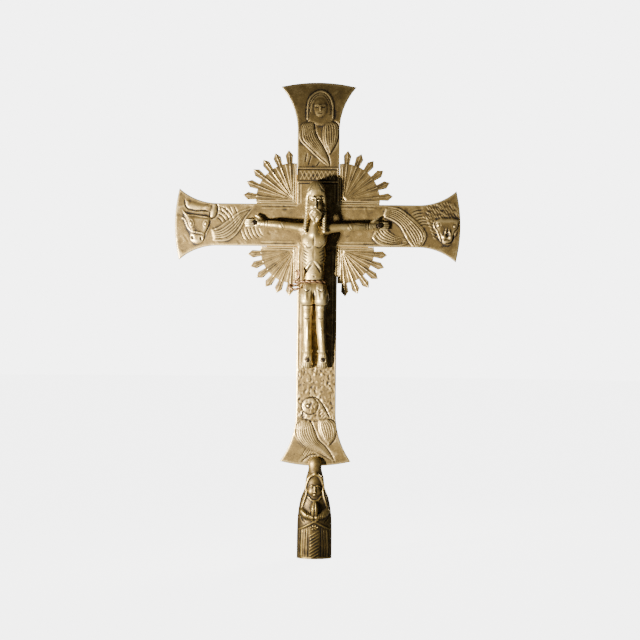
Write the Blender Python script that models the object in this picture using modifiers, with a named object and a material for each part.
"""Altar cross: a flared bronze cross with a rayed glory, a nailed figure and a figural stem.

Frame: +Z up, +X to the viewer's right, the front faces -Y. The origin is the centre of the stem's
foot face, and the cross plate's mid-plane is Y = 0. All sizes are in metres.
"""
import math

import bmesh
import bpy
from mathutils import Matrix, Vector

# Clearances
FIT_GAP = 0.0003            # between any two pieces that touch
CUT_MARGIN = 0.002          # how far a cutter runs past the face it cuts

# Cross plate
PLATE_THICKNESS = 0.0040
PLATE_BOTTOM = 0.0967       # middle of the lower end's arc
PLATE_HEIGHT = 0.4028       # from there to the middle of the upper end's arc
ARM_SPAN = 0.3002
ARM_AXIS_HEIGHT = 0.3495    # the side arms' centre line
UPPER_HALF_WIDTH = 0.0221
LOWER_HALF_WIDTH = 0.0209
SIDE_HALF_WIDTH = 0.0222
UPPER_FLARE = (0.046, 0.0173)   # length along the arm, and rise to each side
SIDE_FLARE = (0.040, 0.0152)
LOWER_FLARE = (0.051, 0.0163)
END_SAGITTA = 0.0046
PLATE_CHAMFER = 0.0006
ARC_STEPS = 8

# Glory: four fans of rays in the cross's corners, joined by a disc behind it
GLORY_DISC_RADIUS = 0.058
GLORY_DISC_THICKNESS = 0.0022
FAN_DROP = 0.0012           # how far the fans' face lies behind the plate's face
FAN_BACK_STEP = 0.0003      # the fans' back stands this far behind the disc's back
FAN_CENTRE_INSET = 0.0042   # from both arm edges to the point that the rays spread from
UPPER_RAY_LENGTH = 0.0520
LOWER_RAY_LENGTH = 0.0478
RAYS_PER_FAN = 6
FIRST_RAY_ANGLE = 5.0       # degrees from the arm's edge
RAY_PITCH = 16.0            # degrees between rays
RAY_NOTCH_DEPTH = 0.0137    # from a tip down to the floor between rays
RAY_HEAD_LENGTH = 0.0047
RAY_HEAD_HALF_WIDTH = 0.0043
RAY_NECK_HALF_WIDTH = 0.0031

# Fasteners
SCREW_RADIUS = 0.0015
SCREW_HEAD_RADIUS = 0.0029
SCREW_HEAD_HEIGHT = 0.0016
SCREW_SLOT_WIDTH = 0.0008
SCREW_SLOT_DEPTH = 0.0008
SCREW_TAIL = 0.0010         # thread that shows past the nut
SLOT_ANGLES = {"left_hand": 50, "right_hand": -30, "left_foot": 15, "right_foot": 35}    # degrees
NUT_RADIUS = 0.0035
NUT_THICKNESS = 0.0024
WASHER_RADIUS = 0.0044
WASHER_THICKNESS = 0.0008
RIVET_RADIUS = 0.0020
RIVET_FLARE_RADIUS = 0.0030
RIVET_FLARE_DEPTH = 0.0010
RIVET_HEAD_RADIUS = 0.0038
RIVET_HEAD_HEIGHT = 0.0017
GLORY_RIVET_CIRCLE = 0.038  # radius of the four glory rivets round the crossing
ROUND_STEPS = 24

# Stem
STEM_DEPTH_SHARE = 0.72     # depth over width
STEM_PROFILE = (            # height, half width, from the foot up
    (0.0000, 0.0180),
    (0.0360, 0.0178),
    (0.0480, 0.0168),
    (0.0590, 0.0155),
    (0.0680, 0.0130),
    (0.0730, 0.0113),
    (0.0800, 0.0107),
    (0.0850, 0.0096),
    (0.0900, 0.0079),
    (0.0960, 0.0076),
    (0.1010, 0.0070),
    (0.1040, 0.0042),
)
STEM_TOP = 0.1050
TANG_HALF_WIDTH = 0.0065
TANG_THICKNESS = 0.0030
TANG_FOOT = 0.066
TANG_TOP = 0.142
TANG_RIVET_HEIGHTS = (0.112, 0.132)

# Figure
FIGURE_HEIGHT = 0.1966      # crown to toes
FIGURE_TOES = 0.1977        # height of the toes above the foot
FIGURE_OFFSET = -0.0030     # the body stands a little left of the cross's centre line
FIGURE_VOXEL = 0.0019
FIGURE_FACES_KEPT = 0.5
HAND_THICKNESS = 0.0052     # from the plate's face to the seat of the screw's head
FOOT_THICKNESS = 0.0066
LEFT_HAND = (-0.0665, 0.3514)
RIGHT_HAND = (0.0647, 0.3493)
LEFT_FOOT = (-0.0094, 0.2083)
RIGHT_FOOT = (0.0065, 0.2083)

# Waist wire
WIRE_DIAMETER = 0.0024
WIRE_HEIGHT = 0.2897
WAIST_HALF_WIDTH = 0.0112
WAIST_HALF_DEPTH = 0.0058
WAIST_OFFSET = -0.0042      # the hips lean a little further left than the chest
WAIST_STAND_OFF = 0.0094    # from the plate's face to the middle of the waist
WIRE_SLACK = 0.0003         # between the wire and the body

PLATE_FRONT = -PLATE_THICKNESS / 2
PLATE_BACK = PLATE_THICKNESS / 2
NUT_FRONT = PLATE_BACK + FIT_GAP + WASHER_THICKNESS + FIT_GAP


# ---------------------------------------------------------------- scene and helpers


def clear_scene():
    for obj in list(bpy.data.objects):
        bpy.data.objects.remove(obj, do_unlink=True)


def new_collection(name):
    collection = bpy.data.collections.new(name)
    bpy.context.scene.collection.children.link(collection)
    return collection


def new_material(name, colour, roughness, metallic):
    material = bpy.data.materials.new(name)
    material.use_nodes = True
    shader = material.node_tree.nodes["Principled BSDF"]
    shader.inputs["Base Color"].default_value = (*colour, 1.0)
    shader.inputs["Roughness"].default_value = roughness
    shader.inputs["Metallic"].default_value = metallic
    material.diffuse_color = (*colour, 1.0)
    return material


def link_object(name, data, collection, material=None):
    obj = bpy.data.objects.new(name, data)
    collection.objects.link(obj)
    if material is not None:
        data.materials.append(material)
    return obj


def mesh_object(name, bm, collection, material=None):
    mesh = bpy.data.meshes.new(name)
    bm.to_mesh(mesh)
    bm.free()
    return link_object(name, mesh, collection, material)


def as_mesh(obj, weld=1e-6):
    """The evaluated object as a welded mesh object with its place in its mesh."""
    bpy.context.view_layer.update()
    graph = bpy.context.evaluated_depsgraph_get()
    mesh = bpy.data.meshes.new_from_object(obj.evaluated_get(graph))
    mesh.transform(obj.matrix_world)
    bm = bmesh.new()
    bm.from_mesh(mesh)
    bmesh.ops.remove_doubles(bm, verts=bm.verts, dist=weld)
    bmesh.ops.recalc_face_normals(bm, faces=bm.faces)
    bm.to_mesh(mesh)
    bm.free()
    name = obj.name
    collection = obj.users_collection[0]
    bpy.data.objects.remove(obj, do_unlink=True)
    return link_object(name, mesh, collection)


def boolean(obj, other, operation):
    modifier = obj.modifiers.new(f"{operation.lower()} {other.name}", "BOOLEAN")
    modifier.operation = operation
    modifier.object = other
    return modifier


def cut(obj, cutters):
    for cutter in cutters:
        boolean(obj, cutter, "DIFFERENCE")


def as_helper(obj):
    obj.hide_render = True
    obj.display_type = "WIRE"
    return obj


def extruded_outline(name, points, front, back, collection):
    """A flat outline in X and Z, extruded from Y = front to Y = back."""
    curve = bpy.data.curves.new(name, "CURVE")
    curve.dimensions = "2D"
    curve.fill_mode = "BOTH"
    curve.extrude = (back - front) / 2
    spline = curve.splines.new("POLY")
    spline.points.add(len(points) - 1)
    for point, (x, z) in zip(spline.points, points):
        point.co = (x, z, 0.0, 1.0)
    spline.use_cyclic_u = True
    obj = link_object(name, curve, collection)
    centre = Vector((0, (front + back) / 2, 0))
    obj.matrix_world = Matrix.Translation(centre) @ Matrix.Rotation(math.pi / 2, 4, "X")
    return as_mesh(obj)


def turned(name, profile, place, collection, material=None):
    """A piece turned about Y from (radius, y) points, which run from the front end to the back end."""
    bm = bmesh.new()
    verts = [bm.verts.new((radius, 0, -y)) for radius, y in profile]
    for first, second in zip(verts, verts[1:]):
        bm.edges.new((first, second))
    obj = mesh_object(name, bm, collection, material)
    screw = obj.modifiers.new("turn", "SCREW")
    screw.steps = ROUND_STEPS
    screw.render_steps = ROUND_STEPS
    screw.use_merge_vertices = True
    screw.merge_threshold = 1e-5
    obj.matrix_world = Matrix.Translation((place[0], 0, place[1])) @ Matrix.Rotation(math.pi / 2, 4, "X")
    obj.data.shade_smooth()
    obj.data.set_sharp_from_angle(angle=math.radians(35))
    return obj


def drill(name, place, radius, front, back, collection):
    """A plain round cutter along Y."""
    profile = [(0, front), (radius, front), (radius, back), (0, back)]
    return as_helper(turned(name, profile, place, collection))


# ---------------------------------------------------------------- cross plate


def arm_outline(half_width, flare, corner):
    """One arm's end as (u along the arm, v across it), from the clockwise edge to the other one."""
    length, rise = flare
    angle = 2 * math.atan2(rise, length)
    radius = length / math.sin(angle)
    turns = [angle * step / ARC_STEPS for step in range(ARC_STEPS + 1)]
    edge = [(corner - length + radius * math.sin(t), half_width + radius * (1 - math.cos(t))) for t in turns]
    half_chord = half_width + rise
    end_radius = (half_chord**2 + END_SAGITTA**2) / (2 * END_SAGITTA)
    reach = math.asin(half_chord / end_radius)
    end = []
    for step in range(1, 2 * ARC_STEPS):
        t = reach * (step / ARC_STEPS - 1)
        end.append((corner + END_SAGITTA - end_radius * (1 - math.cos(t)), end_radius * math.sin(t)))
    return [(u, -v) for u, v in edge] + end + [(u, v) for u, v in reversed(edge)]


def cross_outline():
    """The whole plate, counter-clockwise from the right arm's lower edge."""
    side_corner = ARM_SPAN / 2 - END_SAGITTA
    upper_corner = PLATE_BOTTOM + PLATE_HEIGHT - END_SAGITTA - ARM_AXIS_HEIGHT
    lower_corner = ARM_AXIS_HEIGHT - PLATE_BOTTOM - END_SAGITTA
    arms = (
        (SIDE_HALF_WIDTH, SIDE_FLARE, side_corner, (1, 0)),
        (UPPER_HALF_WIDTH, UPPER_FLARE, upper_corner, (0, 1)),
        (SIDE_HALF_WIDTH, SIDE_FLARE, side_corner, (-1, 0)),
        (LOWER_HALF_WIDTH, LOWER_FLARE, lower_corner, (0, -1)),
    )
    inner_corners = (
        (UPPER_HALF_WIDTH, SIDE_HALF_WIDTH),
        (-UPPER_HALF_WIDTH, SIDE_HALF_WIDTH),
        (-LOWER_HALF_WIDTH, -SIDE_HALF_WIDTH),
        (LOWER_HALF_WIDTH, -SIDE_HALF_WIDTH),
    )
    points = []
    for (half_width, flare, corner, (dx, dz)), (inner_x, inner_z) in zip(arms, inner_corners):
        for u, v in arm_outline(half_width, flare, corner):
            points.append((u * dx - v * dz, ARM_AXIS_HEIGHT + u * dz + v * dx))
        points.append((inner_x, ARM_AXIS_HEIGHT + inner_z))
    return points


def make_cross_plate(parts, cutters, material):
    plate = extruded_outline("cross_plate", cross_outline(), PLATE_FRONT, PLATE_BACK, parts)
    plate.data.materials.append(material)
    bevel = plate.modifiers.new("edge chamfer", "BEVEL")
    bevel.width = PLATE_CHAMFER
    bevel.segments = 1
    bevel.limit_method = "ANGLE"
    bevel.angle_limit = math.radians(60)
    cut(plate, cutters)
    return plate


# ---------------------------------------------------------------- glory


def fan_outline(ray_length):
    """One fan as (p, q) from the corner between two arms, both measured outwards."""
    floor = ray_length - RAY_NOTCH_DEPTH
    shoulder = ray_length - RAY_HEAD_LENGTH

    def at(reach, side, angle):
        across = angle + math.pi / 2
        return (
            FAN_CENTRE_INSET + reach * math.cos(angle) + side * math.cos(across),
            FAN_CENTRE_INSET + reach * math.sin(angle) + side * math.sin(across),
        )

    points = [(0.0, 0.0)]
    for index in range(RAYS_PER_FAN):
        angle = math.radians(FIRST_RAY_ANGLE + RAY_PITCH * index)
        tip = at(ray_length, 0, angle)
        if index == 0:
            points.append((tip[0] - tip[1], 0.0))
        else:
            points.append(at(floor, -RAY_NECK_HALF_WIDTH, angle))
            points.append(at(shoulder, -RAY_HEAD_HALF_WIDTH, angle))
        points.append(tip)
        if index == RAYS_PER_FAN - 1:
            points.append((0.0, tip[1] - tip[0]))
        else:
            points.append(at(shoulder, RAY_HEAD_HALF_WIDTH, angle))
            points.append(at(floor, RAY_NECK_HALF_WIDTH, angle))
    return points


def make_glory(parts, helpers, cutters, material):
    disc_front = PLATE_BACK + FIT_GAP
    disc_back = disc_front + GLORY_DISC_THICKNESS
    steps = 6 * ARC_STEPS
    ring = [2 * math.pi * step / steps for step in range(steps)]
    disc = [
        (GLORY_DISC_RADIUS * math.cos(t), ARM_AXIS_HEIGHT + GLORY_DISC_RADIUS * math.sin(t)) for t in ring
    ]
    glory = extruded_outline("glory", disc, disc_front, disc_back, parts)
    glory.data.materials.append(material)
    for side in (-1, 1):
        for up in (-1, 1):
            half_width = UPPER_HALF_WIDTH if up > 0 else LOWER_HALF_WIDTH
            length = UPPER_RAY_LENGTH if up > 0 else LOWER_RAY_LENGTH
            corner_x = side * (half_width + FIT_GAP)
            corner_z = ARM_AXIS_HEIGHT + up * (SIDE_HALF_WIDTH + FIT_GAP)
            points = [(corner_x + side * p, corner_z + up * q) for p, q in fan_outline(length)]
            if side * up < 0:
                points.reverse()
            name = f"fan_{'right' if side > 0 else 'left'}_{'upper' if up > 0 else 'lower'}"
            fan = extruded_outline(name, points, PLATE_FRONT + FAN_DROP, disc_back + FAN_BACK_STEP, helpers)
            boolean(glory, as_helper(fan), "UNION")
    cut(glory, cutters)
    return glory


# ---------------------------------------------------------------- fasteners


def make_screw(name, place, seat, slot_angle, parts, helpers, material):
    """A slotted screw: its head's underside at Y = seat, its shank through the plate to the nut."""
    front = seat - SCREW_HEAD_HEIGHT
    end = NUT_FRONT + NUT_THICKNESS + SCREW_TAIL
    dome = SCREW_HEAD_HEIGHT * 0.35
    profile = [
        (0, front),
        (SCREW_HEAD_RADIUS * 0.55, front + dome * 0.25),
        (SCREW_HEAD_RADIUS * 0.9, front + dome),
        (SCREW_HEAD_RADIUS, front + dome * 2),
        (SCREW_HEAD_RADIUS, seat),
        (SCREW_RADIUS, seat),
        (SCREW_RADIUS, end - SCREW_RADIUS / 3),
        (SCREW_RADIUS * 0.7, end),
        (0, end),
    ]
    screw = turned(name, profile, place, parts, material)
    bm = bmesh.new()
    bmesh.ops.create_cube(bm, size=1.0)
    depth = SCREW_SLOT_DEPTH + CUT_MARGIN
    size = Matrix.Diagonal((SCREW_HEAD_RADIUS * 3, depth, SCREW_SLOT_WIDTH, 1))
    bmesh.ops.transform(bm, matrix=size, verts=bm.verts)
    slot = as_helper(mesh_object(f"{name}_slot", bm, helpers))
    centre = Vector((place[0], front + SCREW_SLOT_DEPTH - depth / 2, place[1]))
    slot.matrix_world = Matrix.Translation(centre) @ Matrix.Rotation(math.radians(slot_angle), 4, "Y")
    boolean(screw, slot, "DIFFERENCE")
    return screw


def make_ring(name, place, outline, front, back, parts, helpers, material):
    """A nut (outline of 6 sides) or a washer (many sides) round a screw's shank."""
    sides, radius = outline
    bm = bmesh.new()
    bmesh.ops.create_cone(
        bm, cap_ends=True, segments=sides, radius1=radius, radius2=radius, depth=back - front
    )
    ring = mesh_object(name, bm, parts, material)
    centre = Vector((place[0], (front + back) / 2, place[1]))
    ring.matrix_world = Matrix.Translation(centre) @ Matrix.Rotation(math.pi / 2, 4, "X")
    hole = drill(
        f"{name}_hole", place, SCREW_RADIUS + FIT_GAP, front - CUT_MARGIN, back + CUT_MARGIN, helpers
    )
    boolean(ring, hole, "DIFFERENCE")
    return ring


def make_washer_and_nut(name, place, parts, helpers, material):
    washer_front = PLATE_BACK + FIT_GAP
    washer = (ROUND_STEPS, WASHER_RADIUS)
    make_ring(
        f"{name}_washer",
        place,
        washer,
        washer_front,
        washer_front + WASHER_THICKNESS,
        parts,
        helpers,
        material,
    )
    nut = (6, NUT_RADIUS)
    make_ring(f"{name}_nut", place, nut, NUT_FRONT, NUT_FRONT + NUT_THICKNESS, parts, helpers, material)


def make_rivet(name, place, head_seat, parts, material):
    """A rivet set from the back: domed head behind head_seat, its front end flared and filed flush."""
    dome = [
        (RIVET_HEAD_RADIUS * math.cos(t), head_seat + RIVET_HEAD_HEIGHT * math.sin(t))
        for t in [math.pi / 2 * step / 4 for step in range(5)]
    ]
    profile = [
        (0, PLATE_FRONT),
        (RIVET_FLARE_RADIUS, PLATE_FRONT),
        (RIVET_RADIUS, PLATE_FRONT + RIVET_FLARE_DEPTH),
        (RIVET_RADIUS, head_seat),
        *dome[:-1],
        (0, head_seat + RIVET_HEAD_HEIGHT),
    ]
    return turned(name, profile, place, parts, material)


def rivet_hole(name, place, back, helpers):
    """The flared hole that a rivet of make_rivet fills."""
    slope = (RIVET_FLARE_RADIUS - RIVET_RADIUS) / RIVET_FLARE_DEPTH
    mouth = PLATE_FRONT - CUT_MARGIN
    profile = [
        (0, mouth),
        (RIVET_FLARE_RADIUS + FIT_GAP + slope * CUT_MARGIN, mouth),
        (RIVET_RADIUS + FIT_GAP, PLATE_FRONT + RIVET_FLARE_DEPTH),
        (RIVET_RADIUS + FIT_GAP, back + CUT_MARGIN),
        (0, back + CUT_MARGIN),
    ]
    return as_helper(turned(name, profile, place, helpers))


# ---------------------------------------------------------------- stem


def make_stem(parts, helpers, cutters, material):
    """The figural stem: a flattened turned column whose forked head grips the plate's lower edge."""
    bm = bmesh.new()
    path = [(0.0, STEM_TOP), *[(w, z) for z, w in reversed(STEM_PROFILE)], (0.0, 0.0)]
    verts = [bm.verts.new((radius, 0, z)) for radius, z in path]
    for first, second in zip(verts, verts[1:]):
        bm.edges.new((first, second))
    column = mesh_object("stem", bm, parts, material)
    screw = column.modifiers.new("turn", "SCREW")
    screw.steps = ROUND_STEPS
    screw.render_steps = ROUND_STEPS
    screw.use_merge_vertices = True
    screw.merge_threshold = 1e-5
    column.scale = (1, STEM_DEPTH_SHARE, 1)
    stem = as_mesh(column)
    stem.data.materials.clear()
    stem.data.materials.append(material)
    slot_half = PLATE_THICKNESS / 2 + FIT_GAP
    slot = box_helper(
        "stem_slot",
        (-UPPER_HALF_WIDTH, -slot_half, PLATE_BOTTOM - FIT_GAP),
        (UPPER_HALF_WIDTH, STEM_PROFILE[0][1], STEM_TOP + CUT_MARGIN),
        helpers,
    )
    boolean(stem, slot, "DIFFERENCE")
    tang = box_helper(
        "stem_tang",
        (-TANG_HALF_WIDTH, slot_half, TANG_FOOT),
        (TANG_HALF_WIDTH, slot_half + TANG_THICKNESS, TANG_TOP),
        helpers,
    )
    boolean(stem, tang, "UNION")
    cut(stem, cutters)
    return stem


def box_helper(name, low, high, collection):
    bm = bmesh.new()
    bmesh.ops.create_cube(bm, size=1.0)
    low, high = Vector(low), Vector(high)
    size = high - low
    place = Matrix.Translation((low + high) / 2) @ Matrix.Diagonal((*size, 1))
    bmesh.ops.transform(bm, matrix=place, verts=bm.verts)
    return as_helper(mesh_object(name, bm, collection))


# ---------------------------------------------------------------- figure


def figure_point(x, y, height):
    """A point of the body: x from its own axis, y from the plate's face (negative is forward), and
    height as a share of the figure from toes to crown."""
    return Vector((FIGURE_OFFSET + x, PLATE_FRONT + y, FIGURE_TOES + height * FIGURE_HEIGHT))


def add_blob(bm, centre, radii):
    place = Matrix.Translation(centre) @ Matrix.Diagonal((*radii, 1))
    bmesh.ops.create_uvsphere(bm, u_segments=20, v_segments=12, radius=1.0, matrix=place)


def add_limb(bm, start, end, start_radius, end_radius):
    """A tapered limb with round ends."""
    add_blob(bm, start, (start_radius,) * 3)
    add_blob(bm, end, (end_radius,) * 3)
    along = end - start
    place = Matrix.Translation((start + end) / 2) @ along.to_track_quat("Z", "Y").to_matrix().to_4x4()
    bmesh.ops.create_cone(
        bm,
        cap_ends=True,
        segments=20,
        radius1=start_radius,
        radius2=end_radius,
        depth=along.length,
        matrix=place,
    )


def add_torso(bm):
    """Head, hair and beard, neck, chest, waist and loincloth."""
    add_blob(bm, figure_point(0.0006, -0.0115, 0.915), (0.0098, 0.0092, 0.0165))
    add_blob(bm, figure_point(0.0004, -0.0135, 0.820), (0.0062, 0.0062, 0.0110))
    for side in (-1, 1):
        add_limb(
            bm,
            figure_point(side * 0.0080, -0.0095, 0.890),
            figure_point(side * 0.0082, -0.0120, 0.740),
            0.0030,
            0.0028,
        )
    add_limb(bm, figure_point(0, -0.0085, 0.84), figure_point(0, -0.0095, 0.72), 0.0055, 0.0070)
    add_blob(bm, figure_point(-0.0010, -0.0098, 0.700), (0.0135, 0.0076, 0.0200))
    add_blob(bm, figure_point(-0.0012, -0.0095, 0.600), (0.0122, 0.0068, 0.0250))
    waist_x = WAIST_OFFSET - FIGURE_OFFSET
    waist_y = -WAIST_STAND_OFF
    waist_height = (WIRE_HEIGHT - FIGURE_TOES) / FIGURE_HEIGHT
    add_blob(
        bm, figure_point(waist_x, waist_y, waist_height + 0.03), (WAIST_HALF_WIDTH, WAIST_HALF_DEPTH, 0.0200)
    )
    for side in (-1, 1):
        add_limb(
            bm,
            figure_point(waist_x + side * 0.0060, waist_y - 0.0008, waist_height - 0.065),
            figure_point(waist_x + side * 0.0072, waist_y - 0.0020, waist_height - 0.105),
            0.0078,
            0.0076,
        )


def add_leg(bm, foot, side):
    foot_point = Vector((foot[0], PLATE_FRONT - FOOT_THICKNESS / 2, foot[1]))
    hip = figure_point(side * 0.0070 - 0.0006, -0.0100, 0.400)
    knee = figure_point(side * 0.0072 - 0.0004, -0.0125, 0.292)
    ankle = Vector((foot[0] * 0.5 + knee.x * 0.5, PLATE_FRONT - 0.0062, FIGURE_TOES + 0.120 * FIGURE_HEIGHT))
    toes = Vector((foot[0] + side * 0.0003, PLATE_FRONT - 0.0030, FIGURE_TOES + 0.0030))
    add_limb(bm, hip, knee, 0.0068, 0.0051)
    add_limb(bm, knee, ankle, 0.0050, 0.0037)
    add_limb(bm, ankle, foot_point, 0.0038, 0.0046)
    add_blob(bm, foot_point, (0.0054, 0.0046, 0.0080))
    add_blob(bm, toes + Vector((0, 0, 0.0020)), (0.0056, 0.0036, 0.0050))


def add_arm(bm, hand, side):
    palm = Vector((hand[0], PLATE_FRONT - HAND_THICKNESS / 2, hand[1]))
    shoulder = figure_point(side * 0.0125, -0.0090, 0.735)
    wrist = palm + Vector((-side * 0.0115, -0.0030, -0.0012))
    elbow = (shoulder + wrist) / 2 + Vector((0, -0.0014, -0.0008))
    add_limb(bm, shoulder, elbow, 0.0052, 0.0044)
    add_limb(bm, elbow, wrist, 0.0044, 0.0038)
    add_limb(bm, wrist, palm, 0.0037, 0.0036)
    add_blob(bm, palm, (0.0078, 0.0034, 0.0056))
    add_blob(bm, palm + Vector((side * 0.0070, 0.0002, -0.0004)), (0.0044, 0.0026, 0.0042))


def make_figure(parts, helpers, cutters, material):
    bm = bmesh.new()
    add_torso(bm)
    add_leg(bm, LEFT_FOOT, -1)
    add_leg(bm, RIGHT_FOOT, 1)
    add_arm(bm, LEFT_HAND, -1)
    add_arm(bm, RIGHT_HAND, 1)
    rough = mesh_object("figure", bm, parts)
    remesh = rough.modifiers.new("join the forms", "REMESH")
    remesh.mode = "VOXEL"
    remesh.voxel_size = FIGURE_VOXEL
    smooth = rough.modifiers.new("soften", "SMOOTH")
    smooth.iterations = 2
    thin = rough.modifiers.new("fewer faces", "DECIMATE")
    thin.ratio = FIGURE_FACES_KEPT
    figure = as_mesh(rough)
    figure.data.materials.append(material)
    behind = box_helper(
        "figure_back_plane",
        (-ARM_SPAN / 2, PLATE_FRONT - FIT_GAP, PLATE_BOTTOM),
        (ARM_SPAN / 2, PLATE_BACK + CUT_MARGIN, PLATE_BOTTOM + PLATE_HEIGHT),
        helpers,
    )
    cut(figure, [behind, *cutters])
    return figure


def screw_seat_cutter(name, place, seat, helpers):
    """The hole and the spot face that a screw needs in a hand or a foot."""
    front = seat - SCREW_HEAD_HEIGHT - 4 * CUT_MARGIN
    profile = [
        (0, front),
        (SCREW_HEAD_RADIUS + FIT_GAP, front),
        (SCREW_HEAD_RADIUS + FIT_GAP, seat + FIT_GAP),
        (SCREW_RADIUS + FIT_GAP, seat + FIT_GAP),
        (SCREW_RADIUS + FIT_GAP, PLATE_FRONT + CUT_MARGIN),
        (0, PLATE_FRONT + CUT_MARGIN),
    ]
    return as_helper(turned(name, profile, place, helpers))


# ---------------------------------------------------------------- waist wire


def smooth_route(points, steps):
    """Catmull-Rom points through a hand-made route."""
    ends = [points[0] * 2 - points[1], *points, points[-1] * 2 - points[-2]]
    route = []
    for a, b, c, d in zip(ends, ends[1:], ends[2:], ends[3:]):
        for step in range(steps):
            t = step / steps
            route.append(
                ((2 * b) + (c - a) * t + (2 * a - 5 * b + 4 * c - d) * t**2 + (3 * b - a - 3 * c + d) * t**3)
                / 2
            )
    route.append(points[-1])
    return route


def make_waist_wire(parts, material):
    """Soft wire: a turn round the waist, whose two ends cross at the left hip and curl away."""
    reach = WIRE_DIAMETER / 2 + WIRE_SLACK
    half_x = WAIST_HALF_WIDTH + reach
    half_y = WAIST_HALF_DEPTH + reach
    centre = Vector((WAIST_OFFSET, PLATE_FRONT - WAIST_STAND_OFF, WIRE_HEIGHT))
    front = centre.y - half_y
    left = centre.x - half_x

    def round_waist(degrees, drop=0.0):
        t = math.radians(degrees)
        return centre + Vector((half_x * math.cos(t), half_y * math.sin(t), drop))

    upper_tail = [
        Vector((left - 0.0052, front - 0.0028, WIRE_HEIGHT + 0.0104)),
        Vector((left - 0.0030, front - 0.0034, WIRE_HEIGHT + 0.0112)),
        Vector((left - 0.0022, front - 0.0030, WIRE_HEIGHT + 0.0086)),
        Vector((left - 0.0028, front - 0.0014, WIRE_HEIGHT + 0.0038)),
        Vector((left - 0.0058, front - 0.0002, WIRE_HEIGHT + 0.0014)),
        Vector((left - 0.0072, front + 0.0010, WIRE_HEIGHT - 0.0004)),
        Vector((left - 0.0038, front + 0.0008, WIRE_HEIGHT - 0.0002)),
        Vector((left + 0.0030, front + 0.0002, WIRE_HEIGHT)),
    ]
    turn = [round_waist(angle) for angle in (-90, -55, -20, 15, 50, 90, 130, 160)]
    lower_tail = [
        Vector((left - 0.0014, front + 0.0052, WIRE_HEIGHT - 0.0016)),
        Vector((left - 0.0056, front + 0.0044, WIRE_HEIGHT - 0.0040)),
        Vector((left - 0.0100, front + 0.0034, WIRE_HEIGHT - 0.0036)),
        Vector((left - 0.0118, front + 0.0016, WIRE_HEIGHT - 0.0052)),
        Vector((left - 0.0096, front + 0.0004, WIRE_HEIGHT - 0.0078)),
        Vector((left - 0.0054, front + 0.0002, WIRE_HEIGHT - 0.0080)),
        Vector((left - 0.0012, front - 0.0004, WIRE_HEIGHT - 0.0062)),
    ]
    curve = bpy.data.curves.new("waist_wire", "CURVE")
    curve.dimensions = "3D"
    curve.bevel_depth = WIRE_DIAMETER / 2
    curve.bevel_resolution = 2
    curve.use_fill_caps = True
    route = smooth_route([*upper_tail, *turn, *lower_tail], 3)
    spline = curve.splines.new("POLY")
    spline.points.add(len(route) - 1)
    for point, place in zip(spline.points, route):
        point.co = (*place, 1.0)
    return link_object("waist_wire", curve, parts, material)


# ---------------------------------------------------------------- assembly


def main():
    clear_scene()
    parts = new_collection("Altar cross")
    helpers = new_collection("Cutters and guides")
    bronze = new_material("cast bronze", (0.42, 0.30, 0.13), 0.42, 1.0)
    polished = new_material("rubbed bronze", (0.55, 0.42, 0.20), 0.34, 1.0)
    steel = new_material("browned steel", (0.08, 0.07, 0.06), 0.5, 1.0)
    wire = new_material("annealed copper wire", (0.25, 0.15, 0.09), 0.45, 1.0)

    hand_seat = PLATE_FRONT - HAND_THICKNESS
    foot_seat = PLATE_FRONT - FOOT_THICKNESS
    screws = {
        "left_hand": (LEFT_HAND, hand_seat),
        "right_hand": (RIGHT_HAND, hand_seat),
        "left_foot": (LEFT_FOOT, foot_seat),
        "right_foot": (RIGHT_FOOT, foot_seat),
    }
    glory_back = PLATE_BACK + FIT_GAP + GLORY_DISC_THICKNESS
    tang_back = PLATE_BACK + FIT_GAP + TANG_THICKNESS
    glory_rivets = {
        name: (GLORY_RIVET_CIRCLE * x, ARM_AXIS_HEIGHT + GLORY_RIVET_CIRCLE * z)
        for name, x, z in (("right", 1, 0), ("upper", 0, 1), ("left", -1, 0), ("lower", 0, -1))
    }
    tang_rivets = {name: (0.0, z) for name, z in zip(("lower", "upper"), TANG_RIVET_HEIGHTS)}

    screw_holes = [
        drill(
            f"{name}_plate_hole",
            place,
            SCREW_RADIUS + FIT_GAP,
            PLATE_FRONT - CUT_MARGIN,
            PLATE_BACK + CUT_MARGIN,
            helpers,
        )
        for name, (place, _) in screws.items()
    ]
    glory_holes = [
        rivet_hole(f"glory_{name}_hole", place, glory_back, helpers) for name, place in glory_rivets.items()
    ]
    tang_holes = [
        rivet_hole(f"tang_{name}_hole", place, tang_back, helpers) for name, place in tang_rivets.items()
    ]
    seats = [
        screw_seat_cutter(f"{name}_seat", place, seat, helpers) for name, (place, seat) in screws.items()
    ]

    make_cross_plate(parts, [*screw_holes, *glory_holes, *tang_holes], bronze)
    make_glory(parts, helpers, glory_holes, bronze)
    make_stem(parts, helpers, tang_holes, bronze)
    make_figure(parts, helpers, seats, polished)
    make_waist_wire(parts, wire)
    for name, (place, seat) in screws.items():
        make_screw(f"{name}_screw", place, seat, SLOT_ANGLES[name], parts, helpers, steel)
        make_washer_and_nut(name, place, parts, helpers, steel)
    for name, place in glory_rivets.items():
        make_rivet(f"glory_rivet_{name}", place, glory_back + FIT_GAP, parts, bronze)
    for name, place in tang_rivets.items():
        make_rivet(f"tang_rivet_{name}", place, tang_back + FIT_GAP, parts, bronze)


main()
